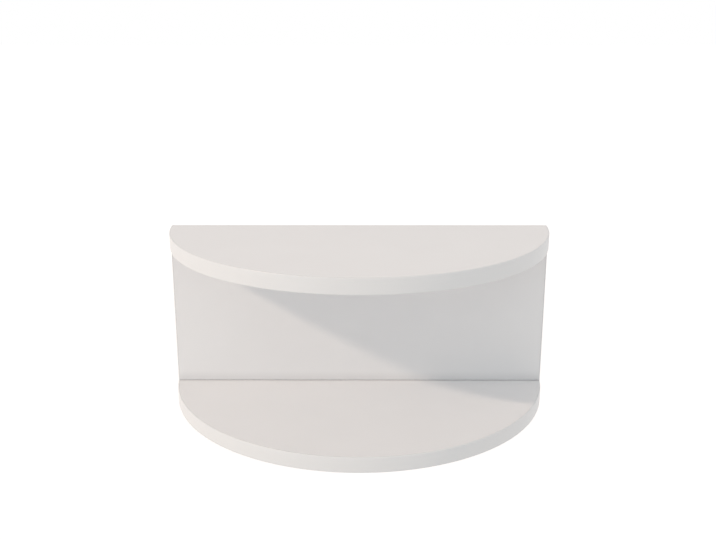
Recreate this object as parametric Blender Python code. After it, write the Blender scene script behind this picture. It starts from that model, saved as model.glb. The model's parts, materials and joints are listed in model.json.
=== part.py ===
"""Wall-hung bedside table: two half-round boards joined by a flat back panel.

The rear face hangs on a wall in the plane y = 0 and the front faces -Y. The origin is
in the middle of the rear face. Lengths are in metres.
"""
import math

import bmesh
import bpy
from mathutils import Vector

# Overall form
WIDTH = 0.400              # top and shelf, across the rear edge
DEPTH = 0.195              # from the wall to the front of the curve
HEIGHT = 0.188             # over both boards
BOARD = 0.016              # laminated board, the same for all three panels
BACK_CHAMFER = 0.0006      # front edges of the back panel, at its two joints

# Edge bands
BAND = 0.0013              # plastic band on the curved and upright edges
BAND_ROUND = 0.0010        # rounding of the band's outer edges
REAR_BAND = 0.0006         # thin band on the edges that face the wall

# Clearances
GLUE_LINE = 0.0001         # between a band and its board
SEAT = 0.0003              # between pieces that rest on each other
TURN_PLAY = 0.0002         # round a cam in its bore
THREAD_PLAY = 0.0002       # round a thread in its hole
DOWEL_PLAY = 0.00015       # round a dowel in its hole
NECK_PLAY = 0.0003         # round a bolt's neck and head in the cam
HOLE_END = 0.0005          # past the end of a dowel or thread in its blind hole

# Where the fittings sit, measured along the rear edge from its end
HANGER_FROM_SIDE = 0.050   # middle of a hanger plate
CAM_FROM_SIDE = 0.090      # middle of a cam
DOWEL_PITCH = 0.032        # from a cam's bolt inwards to its dowel

# Cam fitting
CAM_WALL = 0.0020          # cam's rim outside the room for the bolt head
CAM_RECESS = 0.0003        # cam below the rear face
CAM_COVER = 0.0035         # board left in front of the cam's bore
CAM_SETBACK = 0.024        # middle of the cam from the edge of the back panel
CAM_CHAMFER = 0.0004
CAM_DRAW = 0.0010          # how far half a turn draws the bolt in
CAM_GRIP = 0.0010          # locked cam's inner wall outside the bolt head's radius
DRIVE_ARM = 0.0034         # cross recess of the cam, middle to end of an arm
DRIVE_WIDTH = 0.0017
DRIVE_DEPTH = 0.0020
ARROW_SIZE = 0.0018        # mark on the cam that points at its mouth
ARROW_DEPTH = 0.0006

# Bolt of the cam fitting
BOLT_HEAD = 0.0066
BOLT_NECK = 0.0044
BOLT_COLLAR = 0.0070
COLLAR_HEIGHT = 0.0020
COLLAR_PLAY = 0.0004       # round the collar in the back panel's edge hole
HEAD_TAIL = 0.0020         # bolt head past the cam's axis
BOLT_THREAD = 0.0060
BOLT_ROOT = 0.0046
BOLT_PITCH = 0.0026
BOLT_COVER = 0.0045        # board left over the bolt's hole

# Dowel
DOWEL_DIAMETER = 0.0080
DOWEL_LENGTH = 0.030
DOWEL_FLUTE = 0.0003       # depth of its flutes
DOWEL_CHAMFER = 0.0010
DOWEL_COVER = 0.0055       # board left over the dowel's hole

# Hanger plate
PLATE_LENGTH = 0.060
PLATE_WIDTH = 0.018
PLATE_THICKNESS = 0.0020
PLATE_RECESS = 0.0003      # plate below the rear face
PLATE_FROM_EDGE = 0.010    # end of the plate from the top edge of the back panel
KEYHOLE_ENTRY = 0.010      # lets a wall screw's head in
KEYHOLE_SLOT = 0.0054      # width that holds the wall screw's shank
KEYHOLE_RISE = 0.014       # from the middle of the entry to the end of the slot
POCKET_DEPTH = 0.0090      # room for the wall screw's head, from the rear face
POCKET_MARGIN = 0.0010     # that room past the entry's radius

# Screws of the hanger plate
SCREW_HEAD = 0.0068
SCREW_THREAD = 0.0035
SCREW_ROOT = 0.0024
SCREW_PITCH = 0.0016
SCREW_RIM = 0.0002         # straight rim of the countersunk head
SCREW_FROM_END = 0.0075    # from the end of the plate
SCREW_COVER = 0.0045       # board left in front of the screw's tip
SCREW_POINT = 0.0030       # tapered point
SCREW_TIP = 0.0006         # blunt end of the point
SCREW_ARM = 0.0021         # cross recess, middle to end of an arm
SCREW_SLOT = 0.0009
SCREW_RECESS = 0.0013

# Facets
CURVE_STEPS = 64           # along the half-round edge
ROUND_STEPS = 3            # in the rounding of a band
CAM_SIDES = 48
HOLE_SIDES = 20
PLATE_STEPS = 20           # in each round end of a hanger plate and its pockets
DOWEL_FLUTES = 12
BOLT_SIDES = 12
SCREW_SIDES = 16
THREAD_STEPS = 4           # rings in each turn of a thread
SMOOTH_ANGLE = math.radians(35)

# Values worked out from the sizes above
CURVE_RADIUS = (WIDTH ** 2 / 4 + DEPTH ** 2) / (2 * DEPTH)
CURVE_CENTRE = CURVE_RADIUS - DEPTH         # y of the curve's middle
JOINT_LEVEL = HEIGHT / 2 - BOARD            # inner face of the top above the origin
BACK_EDGE = JOINT_LEVEL - SEAT              # upper edge of the back panel
MID_BOARD = -BOARD / 2                      # y of the bolts and dowels
LOCK_RADIUS = BOLT_HEAD / 2 + CAM_GRIP
OPEN_RADIUS = LOCK_RADIUS + CAM_DRAW
CAM_RADIUS = OPEN_RADIUS + CAM_WALL
CUT_PAST = BOARD                            # cutters run this far past a face
# Turns a piece drawn flat so that it faces the wall with its +Y pointing up
FACE_WALL = (-math.pi / 2, math.pi, 0.0)


def clear_scene():
    """Remove whatever the scene holds."""
    for item in list(bpy.data.objects):
        bpy.data.objects.remove(item, do_unlink=True)


def make_material(name, colour, roughness, metallic=0.0):
    """A Principled material of one colour."""
    material = bpy.data.materials.new(name)
    material.use_nodes = True
    shader = material.node_tree.nodes["Principled BSDF"]
    shader.inputs["Base Color"].default_value = (*colour, 1.0)
    shader.inputs["Roughness"].default_value = roughness
    shader.inputs["Metallic"].default_value = metallic
    return material


def make_materials():
    """Finishes of the pieces, by name."""
    return {
        "board": make_material("white_laminate", (0.85, 0.85, 0.84), 0.45),
        "band": make_material("white_edge_band", (0.81, 0.81, 0.80), 0.38),
        "zinc": make_material("die_cast_zinc", (0.55, 0.55, 0.56), 0.42, 1.0),
        "steel": make_material("plated_steel", (0.66, 0.66, 0.68), 0.30, 1.0),
        "beech": make_material("beech", (0.62, 0.42, 0.25), 0.65),
    }


def place(item, parent, location=(0.0, 0.0, 0.0), rotation=(0.0, 0.0, 0.0)):
    """Put an object in the scene under its parent."""
    bpy.context.collection.objects.link(item)
    item.parent = parent
    item.location = location
    item.rotation_euler = rotation
    return item


def make_anchor(name, location, rotation=(0.0, 0.0, 0.0)):
    """An empty that pieces hang under."""
    return place(bpy.data.objects.new(name, None), None, location, rotation)


def loft(mesh, rings):
    """Add a closed solid that runs through rings of equal counts of points."""
    loops = [[mesh.verts.new(point) for point in ring] for ring in rings]
    faces = [mesh.faces.new(loops[0]), mesh.faces.new(loops[-1])]
    for lower, upper in zip(loops, loops[1:]):
        for index in range(len(lower)):
            after = (index + 1) % len(lower)
            faces.append(mesh.faces.new((lower[index], lower[after], upper[after], upper[index])))
    bmesh.ops.recalc_face_normals(mesh, faces=faces)


def prism(mesh, outline, low, high):
    """Add a flat outline raised from one level to another."""
    loft(mesh, [[Vector((x, y, level)) for x, y in outline] for level in (low, high)])


def circle(radius, sides, centre=(0.0, 0.0)):
    """Outline of a circle."""
    return arc(radius, 0.0, 2 * math.pi * (sides - 1) / sides, sides - 1, centre)


def arc(radius, start, end, steps, centre=(0.0, 0.0)):
    """Points of a circular arc, both ends included."""
    points = []
    for step in range(steps + 1):
        angle = start + (end - start) * step / steps
        points.append((centre[0] + radius * math.cos(angle), centre[1] + radius * math.sin(angle)))
    return points


def stadium(radius, low, high):
    """Outline of a slot along Y whose round ends are centred on low and high."""
    upper = arc(radius, 0.0, math.pi, PLATE_STEPS, (0.0, high))
    lower = arc(radius, math.pi, 2 * math.pi, PLATE_STEPS, (0.0, low))
    return upper + lower


def cross(arm, width):
    """Outline of the recess for a cross-point driver, one arm after another."""
    half = width / 2
    corners = [(arm, -half), (arm, half), (half, half)]
    outline = []
    for _ in range(4):
        outline += corners
        corners = [(-y, x) for x, y in corners]
    return outline


def turned(mesh, profile, sides, centre=(0.0, 0.0)):
    """Add a solid turned about Z through (radius, level) points."""
    loft(mesh, plain_rings(profile, sides, centre))


def thread_rings(root, crest, pitch, start, end, sides):
    """Rings of a right-hand thread that rises out of its core at both ends."""
    count = max(2, round(abs(end - start) / pitch * THREAD_STEPS))
    rings = []
    for step in range(count + 1):
        level = start + (end - start) * step / count
        run_out = min(1.0, 2 * min(step, count - step) / THREAD_STEPS)
        ring = []
        for side, (x, y) in enumerate(circle(1.0, sides)):
            phase = ((level - start) / pitch - side / sides) % 1.0
            height = (1 - abs(2 * phase - 1)) * run_out
            radius = root + (crest - root) * height
            ring.append(Vector((radius * x, radius * y, level)))
        rings.append(ring)
    return rings


def plain_rings(profile, sides, centre=(0.0, 0.0)):
    """Round rings through (radius, level) points."""
    return [[Vector((x, y, level)) for x, y in circle(radius, sides, centre)] for radius, level in profile]


def make_piece(name, mesh, material, parent, location=(0.0, 0.0, 0.0), rotation=(0.0, 0.0, 0.0)):
    """Turn a finished bmesh into a named object, shaded smooth across its round faces."""
    data = bpy.data.meshes.new(name)
    mesh.to_mesh(data)
    mesh.free()
    data.materials.append(material)
    data.shade_smooth()
    data.set_sharp_from_angle(angle=SMOOTH_ANGLE)
    return place(bpy.data.objects.new(name, data), parent, location, rotation)


def make_cutter(name, mesh, parent, location=(0.0, 0.0, 0.0), rotation=(0.0, 0.0, 0.0)):
    """Turn a finished bmesh into a hidden object that others are cut with."""
    data = bpy.data.meshes.new(name)
    mesh.to_mesh(data)
    mesh.free()
    cutter = place(bpy.data.objects.new(name, data), parent, location, rotation)
    cutter.hide_render = True
    cutter.display_type = "WIRE"
    return cutter


def cut(piece, cutter):
    """Take a cutter's shape out of a piece."""
    modifier = piece.modifiers.new(cutter.name, "BOOLEAN")
    modifier.operation = "DIFFERENCE"
    modifier.solver = "EXACT"
    modifier.object = cutter


def curve_point(inset, share, rear):
    """Point on the half-round edge moved in by inset, from its left to its right end.

    The ends, at shares 0 and 1, lie where the edge meets the line y = rear.
    """
    radius = CURVE_RADIUS - inset
    end_angle = math.acos((CURVE_CENTRE - rear) / radius)
    angle = (2 * share - 1) * end_angle
    return radius * math.sin(angle), CURVE_CENTRE - radius * math.cos(angle)


def curve_shares():
    """Shares of the half-round edge at which it has a point."""
    return [step / CURVE_STEPS for step in range(CURVE_STEPS + 1)]


def back_half_width():
    """Half the width of the back panel, whose corners stay within the curve."""
    return min(curve_point(0.0, 1.0, rear)[0] for rear in (0.0, -BOARD))


def band_profile():
    """Section of a band as (inset, level) points, its two outer edges rounded."""
    radius = min(BAND_ROUND, BAND - GLUE_LINE)
    upper = arc(radius, math.pi / 2, math.pi, ROUND_STEPS, (radius, BOARD - radius))
    lower = arc(radius, math.pi, 1.5 * math.pi, ROUND_STEPS, (radius, radius))
    return [(BAND, 0.0), (BAND, BOARD)] + upper + lower


def half_round_panel(name, anchor, material):
    """Half-round board on the joint level, with blind holes for bolts and dowels."""
    outline = [curve_point(BAND + GLUE_LINE, share, -REAR_BAND - GLUE_LINE) for share in curve_shares()]
    mesh = bmesh.new()
    prism(mesh, outline, 0.0, BOARD)
    panel = make_piece(name, mesh, material, anchor)

    holes = bmesh.new()
    for x in mirrored(cam_x()):
        radius = BOLT_THREAD / 2 + THREAD_PLAY
        prism(holes, circle(radius, HOLE_SIDES, (x, MID_BOARD)), -CUT_PAST, BOARD - BOLT_COVER)
    for x in mirrored(dowel_x()):
        radius = DOWEL_DIAMETER / 2 + DOWEL_PLAY
        prism(holes, circle(radius, HOLE_SIDES, (x, MID_BOARD)), -CUT_PAST, BOARD - DOWEL_COVER)
    cut(panel, make_cutter(name + "_holes", holes, anchor))


def curved_band(name, anchor, material):
    """Plastic band round the curved edge of a board."""
    rings = []
    for share in curve_shares():
        ring = []
        for inset, level in band_profile():
            x, y = curve_point(inset, share, 0.0)
            ring.append(Vector((x, y, level)))
        rings.append(ring)
    mesh = bmesh.new()
    loft(mesh, rings)
    make_piece(name, mesh, material, anchor)


def rear_band(name, anchor, material):
    """Thin band on a board's straight edge, between the ends of the curved band."""
    outline = [curve_point(BAND + GLUE_LINE, share, rear) for share, rear in
               ((0.0, 0.0), (0.0, -REAR_BAND), (1.0, -REAR_BAND), (1.0, 0.0))]
    mesh = bmesh.new()
    prism(mesh, outline, 0.0, BOARD)
    make_piece(name, mesh, material, anchor)


def mirrored(x):
    """The two places, right and left, at one distance from the middle."""
    return (x, -x)


def side_name(x):
    """Left or right as seen from the front."""
    return "right" if x > 0 else "left"


def cam_x():
    """Distance of a cam and its bolt from the middle of the table."""
    return WIDTH / 2 - CAM_FROM_SIDE


def dowel_x():
    """Distance of a dowel from the middle of the table."""
    return cam_x() - DOWEL_PITCH


def hanger_x():
    """Distance of a hanger plate from the middle of the table."""
    return WIDTH / 2 - HANGER_FROM_SIDE


def cam_cutters(name, anchor, location):
    """What is taken out of a cam: the room for the bolt head, its slot and the driver recess."""
    level = MID_BOARD + CAM_RECESS
    mouth = BOLT_HEAD / 2 + NECK_PLAY
    neck = BOLT_NECK / 2 + NECK_PLAY
    far = CAM_RADIUS + CUT_PAST

    # Room for the head: a wall that comes closer over half a turn, open at the mouth (-Y)
    room = [(mouth, -far)]
    for step in range(CAM_SIDES + 1):
        angle = -math.pi / 2 + 2 * math.pi * step / CAM_SIDES
        from_lock = abs(angle - math.pi / 2) / math.pi
        radius = LOCK_RADIUS + CAM_DRAW * from_lock
        x, y = radius * math.cos(angle), radius * math.sin(angle)
        if y > 0 or abs(x) > mouth:
            room.append((x, y))
    room.append((-mouth, -far))
    head_room = bmesh.new()
    prism(head_room, room, -BOARD, level + mouth)

    # Slot for the neck: all round the half that passes the bolt, and past the locked place
    high_angle = math.pi - math.acos(neck / OPEN_RADIUS)
    low_angle = math.pi + math.acos(mouth / OPEN_RADIUS)
    slot = [(-mouth, -far), (far, -far), (far, far), (-neck, far)]
    slot += arc(OPEN_RADIUS, high_angle, low_angle, CAM_SIDES // 2)
    neck_slot = bmesh.new()
    prism(neck_slot, slot, level - neck, level + neck)

    # Cross recess and the arrow that points at the mouth, sunk into the face
    marks = bmesh.new()
    prism(marks, cross(DRIVE_ARM, DRIVE_WIDTH), -DRIVE_DEPTH, CUT_PAST)
    arrow_tip = -CAM_RADIUS + 2 * CAM_CHAMFER
    arrow = [(0.0, arrow_tip), (ARROW_SIZE, arrow_tip + ARROW_SIZE), (-ARROW_SIZE, arrow_tip + ARROW_SIZE)]
    prism(marks, arrow, -ARROW_DEPTH, CUT_PAST)

    shapes = (("_head_room", head_room), ("_neck_slot", neck_slot), ("_marks", marks))
    return [make_cutter(name + suffix, mesh, anchor, location, FACE_WALL) for suffix, mesh in shapes]


def cam_lock(name, anchor, material, x):
    """Cam whose origin lies on the axis that it turns about, shown locked."""
    inner_end = -(BOARD - CAM_COVER) + CAM_RECESS + SEAT
    profile = [(CAM_RADIUS, inner_end), (CAM_RADIUS, -CAM_CHAMFER), (CAM_RADIUS - CAM_CHAMFER, 0.0)]
    mesh = bmesh.new()
    turned(mesh, profile, CAM_SIDES)
    location = (x, -CAM_RECESS, -SEAT - CAM_SETBACK)
    cam = make_piece(name, mesh, material, anchor, location, FACE_WALL)
    for cutter in cam_cutters(name, anchor, location):
        cut(cam, cutter)


def cam_bolt(name, anchor, material, x):
    """Bolt screwed into a board, with a collar at its face and a head in the cam."""
    cam_level = -SEAT - CAM_SETBACK
    head = BOLT_HEAD / 2
    neck = BOLT_NECK / 2
    tail = cam_level - HEAD_TAIL
    bevel = (head - neck) / 2
    shoulder = cam_level + head
    collar = BOLT_COLLAR / 2
    collar_low = -SEAT - COLLAR_HEIGHT
    root = BOLT_ROOT / 2
    thread_end = BOARD - BOLT_COVER - HOLE_END
    profile = [(head - bevel, tail), (head, tail + bevel), (head, shoulder), (neck, shoulder + bevel),
               (neck, collar_low), (collar, collar_low), (collar, -SEAT), (root, -SEAT)]
    rings = plain_rings(profile, BOLT_SIDES)
    rings += thread_rings(root, BOLT_THREAD / 2, BOLT_PITCH, HOLE_END, thread_end, BOLT_SIDES)
    mesh = bmesh.new()
    loft(mesh, rings)
    make_piece(name, mesh, material, anchor, (x, MID_BOARD, 0.0))


def wood_dowel(name, anchor, material, x):
    """Fluted dowel, its upper end in a board and the rest in the back panel's edge."""
    high = BOARD - DOWEL_COVER - HOLE_END
    low = high - DOWEL_LENGTH
    radius = DOWEL_DIAMETER / 2
    sides = 2 * DOWEL_FLUTES
    end_radius = radius - DOWEL_CHAMFER
    rings = []
    for reach, level in ((end_radius, low), (radius, low + DOWEL_CHAMFER), (radius, high - DOWEL_CHAMFER),
                         (end_radius, high)):
        ring = []
        for side, (x_side, y_side) in enumerate(circle(1.0, sides)):
            inner = min(reach, radius - DOWEL_FLUTE) if side % 2 else reach
            ring.append(Vector((inner * x_side, inner * y_side, level)))
        rings.append(ring)
    mesh = bmesh.new()
    loft(mesh, rings)
    make_piece(name, mesh, material, anchor, (x, MID_BOARD, 0.0))


def board_end(name, anchor, finish):
    """A half-round board with its bands and the fittings that hold it to the back panel.

    It is drawn as the top: the anchor lies on the board's inner face, +Z points into it.
    """
    half_round_panel(name + "_panel", anchor, finish["board"])
    curved_band(name + "_edge_band", anchor, finish["band"])
    rear_band(name + "_rear_band", anchor, finish["band"])
    for half in mirrored(1):
        side = side_name((anchor.matrix_basis @ Vector((half, 0.0, 0.0))).x)
        cam_lock(f"{name}_cam_lock_{side}", anchor, finish["zinc"], half * cam_x())
        cam_bolt(f"{name}_cam_bolt_{side}", anchor, finish["steel"], half * cam_x())
        wood_dowel(f"{name}_dowel_{side}", anchor, finish["beech"], half * dowel_x())


def edge_cutters(name, anchor):
    """Cam bores, bolt holes and dowel holes of one edge of the back panel."""
    cam_level = -SEAT - CAM_SETBACK
    holes = bmesh.new()
    for x in mirrored(cam_x()):
        radius = max(BOLT_COLLAR, BOLT_HEAD) / 2 + COLLAR_PLAY
        prism(holes, circle(radius, HOLE_SIDES, (x, MID_BOARD)), cam_level, CUT_PAST)
    for x in mirrored(dowel_x()):
        radius = DOWEL_DIAMETER / 2 + DOWEL_PLAY
        hole_end = BOARD - DOWEL_COVER - HOLE_END - DOWEL_LENGTH - HOLE_END
        prism(holes, circle(radius, HOLE_SIDES, (x, MID_BOARD)), hole_end, CUT_PAST)

    bores = bmesh.new()
    for x in mirrored(cam_x()):
        prism(bores, circle(CAM_RADIUS + TURN_PLAY, CAM_SIDES, (x, 0.0)), -(BOARD - CAM_COVER), CUT_PAST)
    return (make_cutter(name + "_edge_holes", holes, anchor),
            make_cutter(name + "_cam_bores", bores, anchor, (0.0, 0.0, cam_level), FACE_WALL))


def chamfer_cutter(name, anchor):
    """What is taken off the front edge of the back panel and its bands at one joint."""
    before = -BOARD - CUT_PAST
    beyond = -SEAT + CUT_PAST
    reach = BACK_CHAMFER + 2 * CUT_PAST
    corners = [(before, beyond - reach), (before + reach, beyond), (before, beyond)]
    wedge = bmesh.new()
    loft(wedge, [[Vector((x, y, level)) for y, level in corners] for x in mirrored(WIDTH)])
    return make_cutter(name + "_chamfer", wedge, anchor)


def back_panel(finish, anchors):
    """Rectangular board between top and shelf, with its bands and the holes at both edges."""
    half = back_half_width() - BAND - GLUE_LINE
    mesh = bmesh.new()
    prism(mesh, [(-half, -BOARD), (half, -BOARD), (half, 0.0), (-half, 0.0)], -BACK_EDGE, BACK_EDGE)
    panel = make_piece("back_panel", mesh, finish["board"], None)
    for name, anchor in anchors.items():
        for cutter in edge_cutters(name, anchor):
            cut(panel, cutter)

    pieces = [panel]
    for side in mirrored(1):
        outline = [(side * (back_half_width() - inset), level - BOARD) for inset, level in band_profile()]
        mesh = bmesh.new()
        prism(mesh, outline, -BACK_EDGE, BACK_EDGE)
        pieces.append(make_piece(f"back_band_{side_name(side)}", mesh, finish["band"], None))
    for name, anchor in anchors.items():
        wedge = chamfer_cutter(name, anchor)
        for piece in pieces:
            cut(piece, wedge)
    return panel


def keyhole_places():
    """Heights of the entry and of the slot's end, with the keyhole in the middle of its plate."""
    length = KEYHOLE_ENTRY / 2 + KEYHOLE_RISE + KEYHOLE_SLOT / 2
    entry = -length / 2 + KEYHOLE_ENTRY / 2
    return entry, entry + KEYHOLE_RISE


def keyhole_outline():
    """Round entry with a narrower slot that rises from it."""
    entry, slot_end = keyhole_places()
    meet = math.acos(KEYHOLE_SLOT / KEYHOLE_ENTRY)
    steps = HOLE_SIDES // 2
    top = arc(KEYHOLE_SLOT / 2, 0.0, math.pi, steps, (0.0, slot_end))
    return top + arc(KEYHOLE_ENTRY / 2, math.pi - meet, 2 * math.pi + meet, HOLE_SIDES, (0.0, entry))


def screw_places():
    """Heights of the two screws in a hanger plate."""
    return mirrored(PLATE_LENGTH / 2 - SCREW_FROM_END)


def countersink_depth():
    """Depth of a screw head's cone, at 45 degrees."""
    return SCREW_HEAD / 2 - SCREW_THREAD / 2


def hanger_plate(name, anchor, material):
    """Steel plate with a keyhole, sunk into the rear face on two screws."""
    radius = PLATE_WIDTH / 2
    straight = PLATE_LENGTH / 2 - radius
    mesh = bmesh.new()
    prism(mesh, stadium(radius, -straight, straight), -PLATE_RECESS - PLATE_THICKNESS, -PLATE_RECESS)
    plate = make_piece(name, mesh, material, anchor)

    holes = bmesh.new()
    prism(holes, keyhole_outline(), -PLATE_RECESS - PLATE_THICKNESS - CUT_PAST, CUT_PAST)
    wide = SCREW_HEAD / 2 + SEAT
    narrow = SCREW_THREAD / 2 + SEAT
    cone_low = -PLATE_RECESS - SCREW_RIM - countersink_depth()
    profile = [(narrow, -PLATE_RECESS - PLATE_THICKNESS - CUT_PAST), (narrow, cone_low),
               (wide, -PLATE_RECESS - SCREW_RIM), (wide, CUT_PAST)]
    for y in screw_places():
        turned(holes, profile, HOLE_SIDES, (0.0, y))
    cut(plate, make_cutter(name + "_holes", holes, anchor))


def hanger_screw(name, anchor, material, y):
    """Countersunk screw that holds a hanger plate, with a cross recess."""
    rim = -SCREW_RIM
    cone_low = rim - countersink_depth()
    thread_start = cone_low - SEAT
    tip = -(BOARD - SCREW_COVER) + PLATE_RECESS + HOLE_END
    thread_end = tip + SCREW_POINT
    crest = SCREW_THREAD / 2
    head = [(SCREW_HEAD / 2, 0.0), (SCREW_HEAD / 2, rim), (crest, cone_low)]
    rings = plain_rings(head, SCREW_SIDES)
    rings += thread_rings(SCREW_ROOT / 2, crest, SCREW_PITCH, thread_start, thread_end, SCREW_SIDES)
    rings += plain_rings([(SCREW_TIP / 2, tip)], SCREW_SIDES)
    mesh = bmesh.new()
    loft(mesh, rings)
    location = (0.0, y, -PLATE_RECESS)
    screw = make_piece(name, mesh, material, anchor, location)

    recess = bmesh.new()
    prism(recess, cross(SCREW_ARM, SCREW_SLOT), -SCREW_RECESS, CUT_PAST)
    cut(screw, make_cutter(name + "_recess", recess, anchor, location))


def hanger_cutters(name, anchor):
    """Shallow pocket for a plate, deeper room for the wall screw's head, and screw holes."""
    radius = PLATE_WIDTH / 2 + SEAT
    straight = PLATE_LENGTH / 2 - PLATE_WIDTH / 2
    floor = -PLATE_RECESS - PLATE_THICKNESS - SEAT
    pocket = bmesh.new()
    prism(pocket, stadium(radius, -straight, straight), floor, CUT_PAST)

    entry, slot_end = keyhole_places()
    room = bmesh.new()
    prism(room, stadium(KEYHOLE_ENTRY / 2 + POCKET_MARGIN, entry, slot_end), -POCKET_DEPTH, CUT_PAST)

    pilots = bmesh.new()
    for y in screw_places():
        hole = SCREW_THREAD / 2 + THREAD_PLAY
        prism(pilots, circle(hole, HOLE_SIDES, (0.0, y)), -(BOARD - SCREW_COVER), CUT_PAST)

    shapes = (("_pocket", pocket), ("_head_room", room), ("_screw_holes", pilots))
    return [make_cutter(name + suffix, mesh, anchor) for suffix, mesh in shapes]


def hanger(side, panel, finish):
    """Keyhole plate with its screws and its pockets on one side of the back panel."""
    name = side_name(side)
    level = BACK_EDGE - PLATE_FROM_EDGE - PLATE_LENGTH / 2
    anchor = make_anchor("hanger_" + name, (side * hanger_x(), 0.0, level), FACE_WALL)
    for cutter in hanger_cutters("hanger_" + name, anchor):
        cut(panel, cutter)
    hanger_plate("hanger_plate_" + name, anchor, finish["steel"])
    for place_name, y in zip(("upper", "lower"), screw_places()):
        hanger_screw(f"hanger_screw_{name}_{place_name}", anchor, finish["steel"], y)


def main():
    """Build the table."""
    clear_scene()
    finish = make_materials()
    anchors = {
        "top": make_anchor("top_joint", (0.0, 0.0, JOINT_LEVEL)),
        "shelf": make_anchor("shelf_joint", (0.0, 0.0, -JOINT_LEVEL), (0.0, math.pi, 0.0)),
    }
    for name, anchor in anchors.items():
        board_end(name, anchor, finish)
    panel = back_panel(finish, anchors)
    for side in mirrored(1):
        hanger(side, panel, finish)


main()
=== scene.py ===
"""Looks of the wall-hung half-round bedside table.

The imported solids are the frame. This script gives each of them its finish, draws the
curved edge bands with a finer surface, and sets the floor, the light and the camera.
Lengths are in metres, in the frame's own axes: the wall is the plane y = 0 and the
front faces -Y.
"""
import json
import math

import bmesh
import bpy
from mathutils import Matrix, Vector


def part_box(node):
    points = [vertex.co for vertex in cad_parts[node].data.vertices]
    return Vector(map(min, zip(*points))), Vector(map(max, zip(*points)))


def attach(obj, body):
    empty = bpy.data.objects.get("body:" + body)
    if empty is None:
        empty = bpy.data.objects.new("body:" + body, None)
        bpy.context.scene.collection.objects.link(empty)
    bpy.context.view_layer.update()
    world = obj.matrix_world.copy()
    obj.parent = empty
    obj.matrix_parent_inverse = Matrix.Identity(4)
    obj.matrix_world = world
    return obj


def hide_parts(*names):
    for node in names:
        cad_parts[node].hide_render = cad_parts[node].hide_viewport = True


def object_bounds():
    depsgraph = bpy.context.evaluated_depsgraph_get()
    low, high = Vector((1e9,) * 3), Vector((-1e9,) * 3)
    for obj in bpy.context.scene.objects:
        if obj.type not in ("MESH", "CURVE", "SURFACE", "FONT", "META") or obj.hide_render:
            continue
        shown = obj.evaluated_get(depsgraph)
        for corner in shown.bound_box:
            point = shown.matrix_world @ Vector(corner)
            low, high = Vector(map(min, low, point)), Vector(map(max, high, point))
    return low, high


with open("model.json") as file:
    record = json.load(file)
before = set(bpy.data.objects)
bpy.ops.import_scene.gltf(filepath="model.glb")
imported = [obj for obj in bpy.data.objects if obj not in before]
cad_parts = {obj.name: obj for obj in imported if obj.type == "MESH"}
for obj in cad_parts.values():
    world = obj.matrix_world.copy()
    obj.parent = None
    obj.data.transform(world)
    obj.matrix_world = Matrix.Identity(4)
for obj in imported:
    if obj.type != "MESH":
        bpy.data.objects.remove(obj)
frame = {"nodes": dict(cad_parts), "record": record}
cad_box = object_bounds()

# Camera, where the photograph was taken from
IMAGE_WIDTH = 716                      # pixels
FOCAL_LENGTH = 922.2                   # pixels
SENSOR_WIDTH = 36.0                    # millimetres
CAMERA_FROM_WALL = 0.9575
CAMERA_OVER_TOP = 0.2306
CAMERA_RIGHT = 0.0004
CAMERA_TILT = math.radians(16.33)      # below the horizon
CAMERA_TURN = math.radians(0.103)      # to the left

# Lamps by name: place, length along X and width, watts and colour
LAMPS = {
    "key": (Vector((-4.51, -2.39, 3.15)), (0.56, 0.08), 124.0, (1.00, 0.81, 0.67)),
    "over": (Vector((0.20, -1.90, 1.50)), (1.35, 1.35), 3.4, (0.95, 1.00, 0.97)),
    "side": (Vector((2.20, -0.40, 0.90)), (1.00, 1.00), 4.8, (0.79, 0.91, 1.00)),
    "front": (Vector((-1.40, -1.90, 0.30)), (1.20, 1.20), 3.1, (0.35, 0.76, 1.00)),
}

# Surroundings, with the light that they give and the colour that the camera sees
AMBIENT = (0.607, 0.585, 0.572, 1.0)
PURE_WHITE = (1.0, 1.0, 1.0, 1.0)

# Floor
FLOOR_BELOW = 0.55                     # under the shelf
FLOOR_SIZE = 40.0
FLOOR_COLOUR = (0.90, 0.90, 0.90)
FLOOR_CLOUDS = 0.2
FLOOR_NEAR = 1.2                       # out to here the floor has the near lift
FLOOR_FAR = 3.0                        # from here on the far one, and joins the surroundings
LIFT_NEAR = 0.38                       # glow that brings the floor to white for the camera
LIFT_FAR = 0.51

# Finishes: grains are sizes of features, reliefs are depths, stops are (tone, value) pairs
WHITE_DRIFT = 0.015                    # share by which a white gets lighter and darker

# White boards: a facing of melamine is the white skin over the board's bare core
BOARD_WHITE = (0.850, 0.852, 0.860)
BOARD_CLOUDS = 0.06
BOARD_PEARL = 0.0007
BOARD_ROUGHNESS = (0.2, 0.40), (0.8, 0.50)
BOARD_SPECULAR = 0.35
BOARD_RELIEF = 0.00002
FACING = 0.00015
EDGE_FACING = 0.0008                   # down the chamfered front edges of the back panel
JOINT_SHADE_TONE = 0.890                      # painted shade on the back panel along its joints with the top and the shelf
JOINT_SHADE_REACH = 0.012

# Bare particle board where a cut opens the core
CHIP_GRAIN = (0.0022, 0.0022, 0.0009)
FIBRE_GRAIN = (0.0030, 0.0005, 0.0005)
CHIP_COLOURS = (0.15, (0.24, 0.15, 0.08)), (0.45, (0.42, 0.29, 0.17)), (0.80, (0.60, 0.46, 0.30))
CHIP_ROUGHNESS = (0.0, 0.90), (1.0, 1.00)
CHIP_DEPTH = 12.0                      # times the relief of the facing

# Plastic bands, with lines that trimming leaves along them, by the way that they run
BAND_WHITE = (0.785, 0.795, 0.802)
BAND_CLOUDS = 0.05
LEVEL_LINES = (0.040, 0.040, 0.0004)
UPRIGHT_LINES = (0.0004, 0.0004, 0.040)
BAND_ROUGHNESS = (0.2, 0.34), (0.8, 0.44)
BAND_RELIEF = 0.00001

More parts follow.
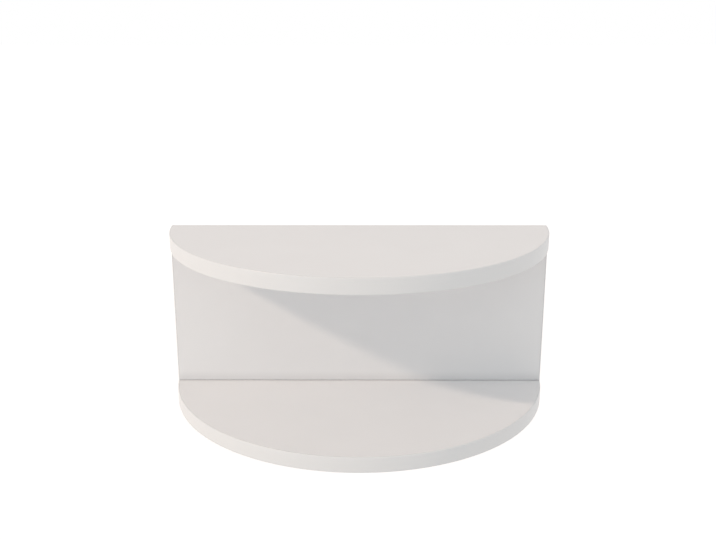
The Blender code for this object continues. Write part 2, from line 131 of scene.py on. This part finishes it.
# Die-cast zinc of the cams
ZINC_FLOW = 0.0035
ZINC_GRAIN = 0.0003
ZINC_COLOURS = (0.3, (0.46, 0.46, 0.47)), (0.7, (0.60, 0.60, 0.61))
ZINC_ROUGHNESS = (0.3, 0.34), (0.7, 0.52)
ZINC_RELIEF = 0.00003

# Plated steel of the bolts, the hanger plates and their screws
STEEL_LINES = (0.0003, 0.0003, 0.012)
STEEL_CLOUDS = 0.006
STEEL_COLOURS = (0.3, (0.50, 0.51, 0.54)), (0.7, (0.65, 0.65, 0.66))
STEEL_ROUGHNESS = (0.25, 0.22), (0.75, 0.38)
STEEL_RELIEF = 0.00001

# Painted shade in the recesses of the metal fittings, darker the deeper they lie under the face
RECESS_SHADE_DEPTH = 0.0005                  # under the face, where the painted shade is darkest
RECESS_SHADE_TONE = 0.30

# Bare beech of the dowels
BEECH_GRAIN = (0.0011, 0.0011, 0.016)
BEECH_FLECKS = (0.0004, 0.0004, 0.0030)
BEECH_COLOURS = (0.30, (0.40, 0.24, 0.12)), (0.50, (0.60, 0.40, 0.23)), (0.75, (0.70, 0.50, 0.32))
BEECH_ROUGHNESS = (0.3, 0.58), (0.7, 0.72)
BEECH_RELIEF = 0.00006

# Smooth shading of the facets
WELD_DISTANCE = 0.000001
SMOOTH_ANGLE = math.radians(35)

# Curved bands, drawn round the two half-round boards
HALF_ROUND_BOARDS = ("top", "shelf")
BAND_SINK = 0.0001                     # into the board, past the shallow facets of its edge
BAND_ROUND = 0.0010                    # rounding of the outer edges
ROUND_STEPS = 8
CURVE_STEPS = 240


def node(tree, kind, inputs=None, **settings):
    """A node with its settings made and its inputs set, or linked where they are sockets."""
    made = tree.nodes.new(kind)
    for name, value in settings.items():
        setattr(made, name, value)
    for name, value in (inputs or {}).items():
        if isinstance(value, bpy.types.NodeSocket):
            tree.links.new(value, made.inputs[name])
        else:
            made.inputs[name].default_value = value
    return made


def new_material(name):
    """A node material with its tree and its Principled shader."""
    material = bpy.data.materials.new(name)
    material.use_nodes = True
    return material, material.node_tree, material.node_tree.nodes["Principled BSDF"]


def own_place(tree):
    """Places in an object's own axes, which are the frame's for every piece of the table."""
    return node(tree, "ShaderNodeTexCoord").outputs["Object"]


def position(tree, axis):
    """Place along one axis."""
    return node(tree, "ShaderNodeSeparateXYZ", {"Vector": own_place(tree)}).outputs[axis]


def coordinates(tree, grain):
    """Places in units of the grain, alike every way or along X, Y and Z."""
    sizes = grain if isinstance(grain, tuple) else (grain,) * 3
    scale = [1.0 / size for size in sizes]
    return node(tree, "ShaderNodeMapping", {"Vector": own_place(tree), "Scale": scale}).outputs["Vector"]


def noise(tree, grain, detail=2.0):
    """Noise from 0 to 1 whose features have the size of the grain."""
    inputs = {"Vector": coordinates(tree, grain), "Scale": 1.0, "Detail": detail}
    return node(tree, "ShaderNodeTexNoise", inputs).outputs["Fac"]


def math_node(tree, operation, *values):
    """The result of one sum."""
    return node(tree, "ShaderNodeMath", dict(enumerate(values)), operation=operation).outputs["Value"]


def blend(tree, first, second, share):
    """Two tones added up, the second with this share."""
    rest = math_node(tree, "MULTIPLY", first, 1.0 - share)
    return math_node(tree, "MULTIPLY_ADD", second, share, rest)


def ramp(tree, tone, *stops):
    """Colours or numbers along a tone, from (tone, value) stops."""
    made = node(tree, "ShaderNodeValToRGB", {"Fac": tone})
    elements = made.color_ramp.elements
    while len(elements) < len(stops):
        elements.new(1.0)
    for element, (place, value) in zip(elements, stops):
        element.position = place
        element.color = (*value, 1.0) if isinstance(value, tuple) else (value, value, value, 1.0)
    return made.outputs["Color"]


def near_white(tree, tone, colour):
    """A white that drifts a little lighter and darker along a tone."""
    darker = tuple(channel * (1.0 - WHITE_DRIFT) for channel in colour)
    lighter = tuple(channel * (1.0 + WHITE_DRIFT) for channel in colour)
    return ramp(tree, tone, (0.25, darker), (0.75, lighter))


def fade(tree, value, start, end):
    """A smooth passage from one (value, result) pair to another."""
    inputs = {"Value": value, "From Min": start[0], "From Max": end[0]}
    inputs.update({"To Min": start[1], "To Max": end[1]})
    return node(tree, "ShaderNodeMapRange", inputs, interpolation_type="SMOOTHSTEP").outputs["Result"]


def darken(tree, colour, tone):
    """A colour times a tone."""
    return node(tree, "ShaderNodeVectorMath", {0: colour, "Scale": tone}, operation="SCALE").outputs["Vector"]


def mix(tree, factor, first, second):
    """First colour where the factor is 0 and second where it is 1."""
    made = node(tree, "ShaderNodeMix", {0: factor}, data_type="RGBA")
    colours = [socket for socket in made.inputs if socket.type == "RGBA"]
    for socket, colour in zip(colours, (first, second)):
        tree.links.new(colour, socket)
    return next(socket for socket in made.outputs if socket.type == "RGBA")


def bump(tree, height, depth):
    """A normal for relief of that depth."""
    inputs = {"Height": height, "Distance": depth, "Strength": 1.0}
    return node(tree, "ShaderNodeBump", inputs).outputs["Normal"]


def link_finish(material, shader, colour, roughness, normal):
    """Link what a finish is made of to its shader."""
    tree = material.node_tree
    tree.links.new(colour, shader.inputs["Base Color"])
    tree.links.new(roughness, shader.inputs["Roughness"])
    tree.links.new(normal, shader.inputs["Normal"])
    return material


def particle_board(tree):
    """Colour and height of bare particle board: chips of several browns, each with its fibres."""
    chips = coordinates(tree, CHIP_GRAIN)
    cells = node(tree, "ShaderNodeTexVoronoi", {"Vector": chips, "Scale": 1.0}).outputs["Color"]
    tone = node(tree, "ShaderNodeSeparateColor", {"Color": cells}).outputs["Red"]
    fibre = noise(tree, FIBRE_GRAIN)
    colour = ramp(tree, blend(tree, tone, fibre, share=0.45), *CHIP_COLOURS)
    return colour, math_node(tree, "ADD", tone, fibre)


def joint_shaded(tree, white, joint):
    """A white with painted shade that darkens it towards the joints, over and under the middle."""
    height = math_node(tree, "ABSOLUTE", position(tree, "Z"))
    return darken(tree, white, fade(tree, height, (joint - JOINT_SHADE_REACH, 1.0), (joint, JOINT_SHADE_TONE)))


def recess_shaded(tree, metal, face):
    """A metal with painted shade in the recesses of its face, which looks along +Y."""
    level = position(tree, "Y")
    return darken(tree, metal, fade(tree, level, (face - RECESS_SHADE_DEPTH, RECESS_SHADE_TONE), (face, 1.0)))


def board_finish(name, axis, core_low, core_high, joint=None):
    """White melamine facing, and bare board where a cut opens the core between two levels.

    A board that stands between two others gets painted shade towards its joints with them.
    """
    material, tree, shader = new_material(name)
    level = position(tree, axis)
    above = math_node(tree, "GREATER_THAN", level, core_low)
    below = math_node(tree, "LESS_THAN", level, core_high)
    core = math_node(tree, "MULTIPLY", above, below)

    pearl = noise(tree, BOARD_PEARL)
    white = near_white(tree, blend(tree, noise(tree, BOARD_CLOUDS), pearl, share=0.4), BOARD_WHITE)
    # painted shade: the white darkens towards the joints with the boards above and below
    if joint is not None:
        white = joint_shaded(tree, white, joint)
    chips, chip_height = particle_board(tree)
    colour = mix(tree, core, white, chips)
    satin = ramp(tree, pearl, *BOARD_ROUGHNESS)
    rough = ramp(tree, chip_height, *CHIP_ROUGHNESS)
    roughness = mix(tree, core, satin, rough)
    opened = math_node(tree, "MULTIPLY", core, chip_height)
    height = math_node(tree, "MULTIPLY_ADD", opened, CHIP_DEPTH, pearl)
    shader.inputs["Specular IOR Level"].default_value = BOARD_SPECULAR
    return link_finish(material, shader, colour, roughness, bump(tree, height, BOARD_RELIEF))


def band_finish(name, grain):
    """White plastic band: smoother than the board, with faint lines along it from trimming."""
    material, tree, shader = new_material(name)
    lines = noise(tree, grain, detail=3.0)
    colour = near_white(tree, blend(tree, noise(tree, BAND_CLOUDS), lines, share=0.5), BAND_WHITE)
    roughness = ramp(tree, lines, *BAND_ROUGHNESS)
    return link_finish(material, shader, colour, roughness, bump(tree, lines, BAND_RELIEF))


def zinc_finish(face):
    """Die-cast zinc: matt, with cloudy flow marks and a fine cast grain."""
    material, tree, shader = new_material("die_cast_zinc")
    flow = noise(tree, ZINC_FLOW, detail=4.0)
    grain = noise(tree, ZINC_GRAIN)
    # painted shade in the recesses of the cam's face
    colour = recess_shaded(tree, ramp(tree, flow, *ZINC_COLOURS), face)
    roughness = ramp(tree, flow, *ZINC_ROUGHNESS)
    shader.inputs["Metallic"].default_value = 1.0
    return link_finish(material, shader, colour, roughness, bump(tree, grain, ZINC_RELIEF))


def steel_finish(face):
    """Bright zinc plating: slightly blue, with rolling lines along the steel."""
    material, tree, shader = new_material("plated_steel")
    lines = noise(tree, STEEL_LINES, detail=3.0)
    tone = blend(tree, noise(tree, STEEL_CLOUDS), lines, share=0.4)
    # painted shade in the recesses of the plates and screws
    colour = recess_shaded(tree, ramp(tree, tone, *STEEL_COLOURS), face)
    roughness = ramp(tree, lines, *STEEL_ROUGHNESS)
    shader.inputs["Metallic"].default_value = 1.0
    return link_finish(material, shader, colour, roughness, bump(tree, lines, STEEL_RELIEF))


def beech_finish():
    """Bare beech with fine grain and short dark flecks along Z."""
    material, tree, shader = new_material("bare_beech")
    grain = noise(tree, BEECH_GRAIN, detail=4.0)
    tone = blend(tree, grain, noise(tree, BEECH_FLECKS), share=0.4)
    colour = ramp(tree, tone, *BEECH_COLOURS)
    roughness = ramp(tree, grain, *BEECH_ROUGHNESS)
    return link_finish(material, shader, colour, roughness, bump(tree, tone, BEECH_RELIEF))


def make_finishes():
    """Finishes by material slot, or by node where a piece has one of its own."""
    finishes = {
        "edge_band": band_finish("white_edge_band", LEVEL_LINES),
        "zinc": zinc_finish(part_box("top_cam_lock_left")[1].y),
        "steel": steel_finish(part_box("hanger_screw_left_upper")[1].y),
        "beech": beech_finish(),
    }
    upright = band_finish("white_upright_band", UPRIGHT_LINES)
    finishes.update({"back_band_left": upright, "back_band_right": upright})
    low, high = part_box("back_panel")
    core = low.y + EDGE_FACING, high.y - FACING
    # the back panel gets painted shade along its joints with the top and the shelf
    finishes["back_panel"] = board_finish("white_back", "Y", *core, joint=high.z)
    for board in HALF_ROUND_BOARDS:
        low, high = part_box(board + "_panel")
        core = low.z + FACING, high.z - FACING
        finishes[board + "_panel"] = board_finish("white_" + board, "Z", *core)
    return finishes


def passed_through(tree, kind, geometry, inputs=None, **settings):
    """Geometry that has gone through one more node."""
    return node(tree, kind, {"Geometry": geometry, **(inputs or {})}, **settings).outputs["Geometry"]


def smooth_nodes():
    """Nodes that weld a solid's facets and shade them smooth across shallow edges."""
    tree = bpy.data.node_groups.new("smooth_facets", "GeometryNodeTree")
    tree.interface.new_socket("Geometry", in_out="INPUT", socket_type="NodeSocketGeometry")
    tree.interface.new_socket("Geometry", in_out="OUTPUT", socket_type="NodeSocketGeometry")
    angle = node(tree, "GeometryNodeInputMeshEdgeAngle").outputs["Unsigned Angle"]
    compared = node(tree, "FunctionNodeCompare", {0: angle, 1: SMOOTH_ANGLE}, operation="LESS_THAN")
    shallow = {"Shade Smooth": compared.outputs["Result"]}

    solid = node(tree, "NodeGroupInput").outputs["Geometry"]
    bare = passed_through(tree, "GeometryNodeRemoveAttribute", solid, {"Name": "custom_normal"})
    welded = passed_through(tree, "GeometryNodeMergeByDistance", bare, {"Distance": WELD_DISTANCE})
    faces = passed_through(tree, "GeometryNodeSetShadeSmooth", welded, domain="FACE")
    edges = passed_through(tree, "GeometryNodeSetShadeSmooth", faces, shallow, domain="EDGE")
    node(tree, "NodeGroupOutput", {"Geometry": edges})
    return tree


def band_section(thickness, low, high):
    """Section of a band as (inset, level) points, its two outer edges rounded."""
    points = [(thickness, low), (thickness, high)]
    for middle, start in ((high - BAND_ROUND, math.pi / 2), (low + BAND_ROUND, math.pi)):
        for step in range(ROUND_STEPS + 1):
            angle = start + math.pi / 2 * step / ROUND_STEPS
            points.append((BAND_ROUND * (1 + math.cos(angle)), middle + BAND_ROUND * math.sin(angle)))
    return points


def band_rings(mesh, solid, thickness):
    """Rings of points that follow a packed band from its left to its right end."""
    low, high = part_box(solid)
    depth = high.y - low.y
    radius = (high.x ** 2 + depth ** 2) / (2 * depth)
    centre = low.y + radius
    section = band_section(thickness, low.z, high.z)
    rings = []
    for step in range(CURVE_STEPS + 1):
        ring = []
        for inset, level in section:
            reach = radius - inset
            angle = (2 * step / CURVE_STEPS - 1) * math.acos((centre - high.y) / reach)
            ring.append(mesh.verts.new((reach * math.sin(angle), centre - reach * math.cos(angle), level)))
        rings.append(ring)
    return rings


def curved_band(name, solid, thickness, finish):
    """Band round a half-round board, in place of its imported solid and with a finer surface."""
    mesh = bmesh.new()
    rings = band_rings(mesh, solid, thickness)
    for before, after in zip(rings, rings[1:]):
        for index in range(len(before)):
            following = (index + 1) % len(before)
            mesh.faces.new((before[index], before[following], after[following], after[index]))
    mesh.faces.new(rings[0])
    mesh.faces.new(rings[-1])
    bmesh.ops.recalc_face_normals(mesh, faces=mesh.faces)
    data = bpy.data.meshes.new(name)
    mesh.to_mesh(data)
    mesh.free()
    data.materials.append(finish)
    data.shade_smooth()
    data.set_sharp_from_angle(angle=SMOOTH_ANGLE)
    band = bpy.data.objects.new(name, data)
    bpy.context.collection.objects.link(band)
    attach(band, "carcass")
    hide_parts(solid)


def dress_object():
    """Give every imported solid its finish, and draw the curved bands."""
    finishes = make_finishes()
    smooth = smooth_nodes()
    for part in frame["record"]["subparts"]:
        solid = frame["nodes"][part["node"]]
        solid.data.materials.clear()
        solid.data.materials.append(finishes.get(part["node"]) or finishes[part["material_slot"]])
        solid.modifiers.new("smooth_facets", "NODES").node_group = smooth

    for board in HALF_ROUND_BOARDS:
        solid = board + "_edge_band"
        to_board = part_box(board + "_panel")[0].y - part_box(solid)[0].y
        curved_band(board + "_band", solid, to_board + BAND_SINK, finishes["edge_band"])


def seen_directly(tree):
    """1 where the camera sees a surface itself, in a mirror or through glass, else 0."""
    path = node(tree, "ShaderNodeLightPath").outputs
    mirrored = math_node(tree, "MAXIMUM", path["Is Camera Ray"], path["Is Glossy Ray"])
    return math_node(tree, "MAXIMUM", mirrored, path["Is Transmission Ray"])


def floor_finish():
    """Pale matt floor, lifted to white for the camera where nothing shades it."""
    material, tree, shader = new_material("pale_floor")
    colour = near_white(tree, noise(tree, FLOOR_CLOUDS), FLOOR_COLOUR)
    tree.links.new(colour, shader.inputs["Base Color"])
    shader.inputs["Roughness"].default_value = 1.0
    shader.inputs["Specular IOR Level"].default_value = 0.0
    away = node(tree, "ShaderNodeVectorMath", {0: own_place(tree)}, operation="LENGTH").outputs["Value"]
    lift = fade(tree, away, (FLOOR_NEAR, LIFT_NEAR), (FLOOR_FAR, LIFT_FAR))
    shader.inputs["Emission Color"].default_value = PURE_WHITE
    tree.links.new(math_node(tree, "MULTIPLY", seen_directly(tree), lift), shader.inputs["Emission Strength"])
    return material


def make_floor():
    """Wide floor under the object, which hangs over it as on a wall."""
    mesh = bmesh.new()
    bmesh.ops.create_grid(mesh, x_segments=1, y_segments=1, size=FLOOR_SIZE / 2)
    data = bpy.data.meshes.new("floor")
    mesh.to_mesh(data)
    mesh.free()
    data.materials.append(floor_finish())
    floor = bpy.data.objects.new("floor", data)
    floor.location.z = cad_box[0].z - FLOOR_BELOW
    bpy.context.collection.objects.link(floor)


def make_surroundings():
    """Surroundings that light the object evenly and are white to the camera."""
    world = bpy.data.worlds.new("studio")
    bpy.context.scene.world = world
    world.use_nodes = True
    tree = world.node_tree
    tree.nodes.clear()
    around = node(tree, "ShaderNodeBackground", {"Color": AMBIENT, "Strength": 1.0})
    white = node(tree, "ShaderNodeBackground", {"Color": PURE_WHITE, "Strength": 1.0})
    inputs = {0: seen_directly(tree), 1: around.outputs["Background"], 2: white.outputs["Background"]}
    mixed = node(tree, "ShaderNodeMixShader", inputs)
    node(tree, "ShaderNodeOutputWorld", {"Surface": mixed.outputs["Shader"]})


def facing(place):
    """Turn of a lamp that points at the object, its length as near to the X axis as that allows."""
    back = place.normalized()
    up = back.cross(Vector((1.0, 0.0, 0.0))).normalized()
    return Matrix((up.cross(back), up, back)).transposed().to_euler()


def make_lamps():
    """Lamps that point at the object: a long warm key and weak ones from above, the side and the front."""
    for name, (place, (length, width), power, colour) in LAMPS.items():
        lamp = bpy.data.lights.new(name, "AREA")
        lamp.shape = "ELLIPSE"
        lamp.size = length
        lamp.size_y = width
        lamp.energy = power
        lamp.color = colour
        holder = bpy.data.objects.new(name, lamp)
        holder.location = place
        holder.rotation_euler = facing(place)
        bpy.context.collection.objects.link(holder)


def make_camera():
    """Camera at the photograph's viewing angle."""
    lens = bpy.data.cameras.new("camera")
    lens.sensor_fit = "HORIZONTAL"
    lens.sensor_width = SENSOR_WIDTH
    lens.lens = FOCAL_LENGTH / IMAGE_WIDTH * SENSOR_WIDTH
    camera = bpy.data.objects.new("camera", lens)
    camera.location = (CAMERA_RIGHT, cad_box[1].y - CAMERA_FROM_WALL, cad_box[1].z + CAMERA_OVER_TOP)
    camera.rotation_euler = (math.pi / 2 - CAMERA_TILT, 0.0, CAMERA_TURN)
    bpy.context.collection.objects.link(camera)
    bpy.context.scene.camera = camera


dress_object()
make_floor()
make_surroundings()
make_lamps()
make_camera()
bpy.context.scene.view_settings.view_transform = "Standard"
